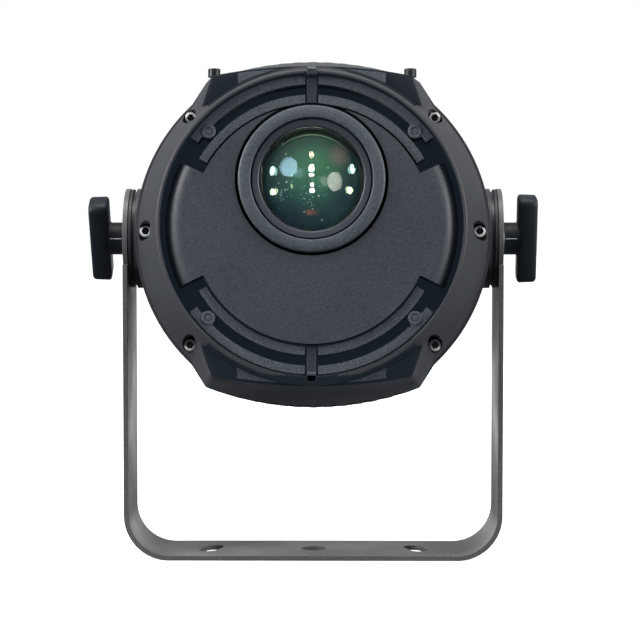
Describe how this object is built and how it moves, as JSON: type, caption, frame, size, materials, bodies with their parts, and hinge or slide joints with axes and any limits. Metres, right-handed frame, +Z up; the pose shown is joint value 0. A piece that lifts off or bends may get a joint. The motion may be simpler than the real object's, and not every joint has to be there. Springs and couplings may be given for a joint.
{
  "type": "par can light",
  "caption": "Par-style stage light with one off-centre projection lens, in a U yoke with T-handle tilt knobs, rear menu and connectors.",
  "frame": {"origin": "centre of the clamp hole on the yoke's underside", "axes": "+Z up from the yoke's bar to the head, the lens looks along -Y, +X is to the right seen from the front"},
  "size_m": [0.2286, 0.2133, 0.2522],
  "materials": {
    "satin_steel": "fine textured powder coat",
    "cover_plastic": "satin moulded",
    "panel_plastic": "fine textured",
    "rib_plastic": "fine textured",
    "bezel_metal": "fine textured powder coat",
    "retainer_metal": "satin anodised",
    "coated_glass": "green anti-reflection coating",
    "clear_glass": "clear",
    "filter_glass": "dichroic",
    "seal_rubber": "matt",
    "friction_pad": "matt",
    "brass_insert": "machined",
    "pivot_metal": "black anodised",
    "bright_steel": "stainless",
    "black_steel": "black oxide",
    "knob_plastic": "lightly grained",
    "button_plastic": "satin",
    "window_plastic": "clear smoked",
    "board": "circuit board with solder mask",
    "white_board": "white solder mask",
    "emitter": "phosphor under silicone",
    "bare_aluminium": "extruded and sawn",
    "black_plastic": "moulded",
    "blue_plastic": "moulded",
    "grey_plastic": "moulded"
  },
  "bodies": {
    "yoke": {"yoke": "satin_steel"},
    "head": {"front_cover": "cover_plastic", "cover_gasket": "seal_rubber", "rear_housing": "cover_plastic", "face_panel": "panel_plastic", "face_ribs": "rib_plastic", "lens_bezel": "bezel_metal", "lens_retainer": "retainer_metal", "objective_lens": "coated_glass", "lens_seal": "seal_rubber", "lens_tube": "retainer_metal", "pivot_insert_left": "brass_insert", "pivot_insert_right": "brass_insert", "pivot_plate_left": "pivot_metal", "pivot_plate_right": "pivot_metal", "friction_disc_left": "friction_pad", "friction_disc_right": "friction_pad", "cover_screws": "bright_steel", "shoulder_screws": "black_steel", "back_cover": "cover_plastic", "back_screws": "black_steel", "safety_eye": "bright_steel", "display_window": "window_plastic", "display_module": "black_plastic", "menu_board": "board", "power_inlet": "blue_plastic", "power_outlet": "grey_plastic", "data_inlet": "black_plastic", "data_outlet": "black_plastic", "fuse_holder": "black_plastic", "chassis_plate": "bare_aluminium", "chassis_posts": "bare_aluminium", "heat_sink": "bare_aluminium", "led_board": "white_board", "led_emitter": "emitter", "condenser_holder": "retainer_metal", "condenser_lens": "clear_glass", "colour_motor": "black_steel", "effect_motor": "black_steel", "fan_frame": "black_plastic", "power_board": "board"},
    "washer_left": {"knob_washer_left": "bright_steel"},
    "washer_right": {"knob_washer_right": "bright_steel"},
    "knob_left": {"tilt_knob_left": "knob_plastic", "knob_stud_left": "bright_steel"},
    "knob_right": {"tilt_knob_right": "knob_plastic", "knob_stud_right": "bright_steel"},
    "colour_wheel": {"colour_wheel": "bare_aluminium", "colour_filters": "filter_glass", "colour_shaft": "bright_steel"},
    "effect_wheel": {"effect_glass": "clear_glass", "effect_hub": "bare_aluminium", "effect_shaft": "bright_steel"},
    "fan_rotor": {"fan_rotor": "black_plastic"},
    "button_1": {"menu_button_1": "button_plastic"},
    "button_2": {"menu_button_2": "button_plastic"},
    "button_3": {"menu_button_3": "button_plastic"},
    "button_4": {"menu_button_4": "button_plastic"}
  },
  "joints": [
    {"name": "head_tilt", "type": "hinge", "parent": "yoke", "child": "head", "pos_m": [0, 0, 0.163], "axis": [1, 0, 0], "range_deg": [-135, 135]},
    {"name": "washer_left_slide", "type": "slide", "parent": "yoke", "child": "washer_left", "axis": [-1, 0, 0], "range_m": [0, 0.00251]},
    {"name": "knob_left_turn", "type": "hinge", "parent": "washer_left", "child": "knob_left", "pos_m": [-0.1, 0, 0.163], "axis": [-1, 0, 0], "range_deg": [0, 720]},
    {"name": "washer_right_slide", "type": "slide", "parent": "yoke", "child": "washer_right", "axis": [1, 0, 0], "range_m": [0, 0.00251]},
    {"name": "knob_right_turn", "type": "hinge", "parent": "washer_right", "child": "knob_right", "pos_m": [0.1, 0, 0.163], "axis": [1, 0, 0], "range_deg": [0, 720]},
    {"name": "colour_wheel_spin", "type": "hinge", "parent": "head", "child": "colour_wheel", "pos_m": [-0.025, 0.00874, 0.16007], "axis": [0, -0.9945, 0.1045], "continuous": true},
    {"name": "effect_wheel_spin", "type": "hinge", "parent": "head", "child": "effect_wheel", "pos_m": [0.025, 0.00278, 0.1607], "axis": [0, -0.9945, 0.1045], "continuous": true},
    {"name": "fan_spin", "type": "hinge", "parent": "head", "child": "fan_rotor", "pos_m": [0, 0.08383, 0.17611], "axis": [0, -0.9945, 0.1045], "continuous": true},
    {"name": "menu_button_1_press", "type": "slide", "parent": "head", "child": "button_1", "axis": [0, -0.9945, 0.1045], "range_m": [0, 0.0007], "stiffness_N_per_m": 800},
    {"name": "menu_button_2_press", "type": "slide", "parent": "head", "child": "button_2", "axis": [0, -0.9945, 0.1045], "range_m": [0, 0.0007], "stiffness_N_per_m": 800},
    {"name": "menu_button_3_press", "type": "slide", "parent": "head", "child": "button_3", "axis": [0, -0.9945, 0.1045], "range_m": [0, 0.0007], "stiffness_N_per_m": 800},
    {"name": "menu_button_4_press", "type": "slide", "parent": "head", "child": "button_4", "axis": [0, -0.9945, 0.1045], "range_m": [0, 0.0007], "stiffness_N_per_m": 800}
  ],
  "couplings": [
    {"joint": "washer_left_slide", "follows": "knob_left_turn", "m_per_rad": 0.00019894},
    {"joint": "washer_right_slide", "follows": "knob_right_turn", "m_per_rad": 0.00019894}
  ]
}
